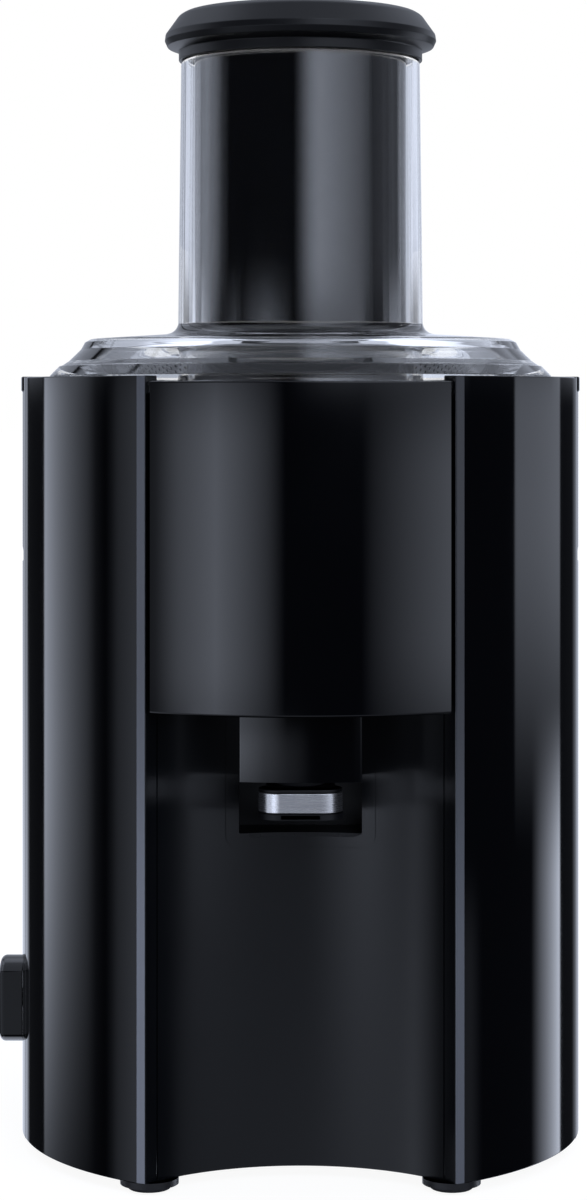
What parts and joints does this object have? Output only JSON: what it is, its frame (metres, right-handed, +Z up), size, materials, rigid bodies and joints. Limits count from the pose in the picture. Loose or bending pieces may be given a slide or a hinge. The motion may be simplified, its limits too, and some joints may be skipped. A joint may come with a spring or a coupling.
{
  "type": "centrifugal juicer",
  "caption": "Centrifugal juicer with a jug bay, drip-stop spout, spinning grater basket, clear lid with a whole-fruit chute and pusher, side clamps and rear pulp container.",
  "frame": {"origin": "centre of the whole object's footprint, on the surface that it stands on", "axes": "+Z up, -Y towards the front with the jug bay, +X to the right as seen from the front"},
  "size_m": [0.218, 0.2944, 0.42],
  "materials": {
    "gloss_black": "high gloss",
    "bay_black": "semi gloss",
    "cap_black": "fine matt",
    "dark_plastic": "satin",
    "clear_plastic": "clear",
    "satin_steel": "brushed",
    "basket_steel": "brushed",
    "steel": "turned",
    "laminations": "stacked sheet",
    "copper": "enamelled",
    "bracket_metal": "cast",
    "rubber": "matt",
    "white_plastic": "satin",
    "fan_plastic": "satin",
    "carbon": "matt",
    "board": "satin"
  },
  "bodies": {
    "housing": {"base_tray": "dark_plastic", "front_left_column": "gloss_black", "front_right_column": "gloss_black", "left_side_shell": "gloss_black", "right_side_shell": "gloss_black", "bay_wall": "bay_black", "rear_cover": "gloss_black", "top_deck": "dark_plastic", "bowl_cradle": "dark_plastic", "foot_pads": "rubber", "base_screws": "steel", "cord_inlet": "rubber", "clamp_pins": "steel", "interlock_switch": "dark_plastic", "switch_body": "dark_plastic", "speed_board": "board", "motor_bracket": "bracket_metal", "lower_bracket": "bracket_metal", "motor_mounts": "rubber", "motor_screws": "steel", "motor_stator": "laminations", "stator_coils": "copper", "brush_holders": "copper", "carbon_brushes": "carbon", "upper_bearing": "steel", "lower_bearing": "steel", "shaft_seal": "rubber"},
    "drive": {"motor_shaft": "steel", "rotor_core": "laminations", "commutator": "copper", "cooling_fan": "fan_plastic", "drive_coupling": "white_plastic"},
    "basket": {"basket_hub": "dark_plastic", "grater_disc": "basket_steel", "sieve_cone": "basket_steel", "basket_rim": "dark_plastic"},
    "bowl": {"juice_bowl": "dark_plastic", "bowl_floor": "dark_plastic", "bowl_rim": "dark_plastic", "bowl_chimney": "dark_plastic", "spout_tube": "dark_plastic", "front_panel": "gloss_black", "spout_hood": "gloss_black", "lever_pin": "steel"},
    "lever": {"drip_lever": "dark_plastic", "lever_tab": "satin_steel", "drip_seal": "rubber"},
    "lid": {"lid_cover": "clear_plastic", "feed_chute": "clear_plastic"},
    "pusher": {"pusher_tube": "gloss_black", "pusher_cap": "cap_black"},
    "left_latch": {"left_clamp": "gloss_black"},
    "right_latch": {"right_clamp": "gloss_black"},
    "knob": {"switch_knob": "gloss_black", "knob_spindle": "steel"},
    "container": {"pulp_container": "gloss_black"}
  },
  "joints": [
    {"name": "drive_spin", "type": "hinge", "parent": "housing", "child": "drive", "pos_m": [0.004, -0.04275, 0.1], "axis": [0, 0, 1], "continuous": true},
    {"name": "basket_lift", "type": "slide", "parent": "drive", "child": "basket", "axis": [0, 0, 1], "range_m": [0, 0.245]},
    {"name": "bowl_lift", "type": "slide", "parent": "housing", "child": "bowl", "axis": [0, 0, 1], "range_m": [0, 0.16]},
    {"name": "lever_swing", "type": "hinge", "parent": "bowl", "child": "lever", "pos_m": [0.004, -0.09975, 0.15], "axis": [1, 0, 0], "range_deg": [0, 25]},
    {"name": "lid_lift", "type": "slide", "parent": "housing", "child": "lid", "axis": [0, 0, 1], "range_m": [0, 0.33]},
    {"name": "pusher_slide", "type": "slide", "parent": "lid", "child": "pusher", "axis": [0, 0, 1], "range_m": [0, 0.18]},
    {"name": "left_latch_swing", "type": "hinge", "parent": "housing", "child": "left_latch", "pos_m": [-0.0954, -0.04275, 0.222], "axis": [0, -1, 0], "range_deg": [0, 35]},
    {"name": "right_latch_swing", "type": "hinge", "parent": "housing", "child": "right_latch", "pos_m": [0.1034, -0.04275, 0.222], "axis": [0, 1, 0], "range_deg": [0, 35]},
    {"name": "knob_turn", "type": "hinge", "parent": "housing", "child": "knob", "pos_m": [-0.096, -0.04275, 0.051], "axis": [-1, 0, 0], "range_deg": [0, 90]},
    {"name": "container_pull", "type": "slide", "parent": "housing", "child": "container", "axis": [0, 1, 0], "range_m": [0, 0.16]}
  ],
  "couplings": [
    {"joint": "basket_lift", "follows": "lid_lift", "ratio": 0.742},
    {"joint": "bowl_lift", "follows": "lid_lift", "ratio": 0.484},
    {"joint": "left_latch_swing", "follows": "lid_lift", "rad_per_m": 1.85},
    {"joint": "right_latch_swing", "follows": "lid_lift", "rad_per_m": 1.85}
  ]
}
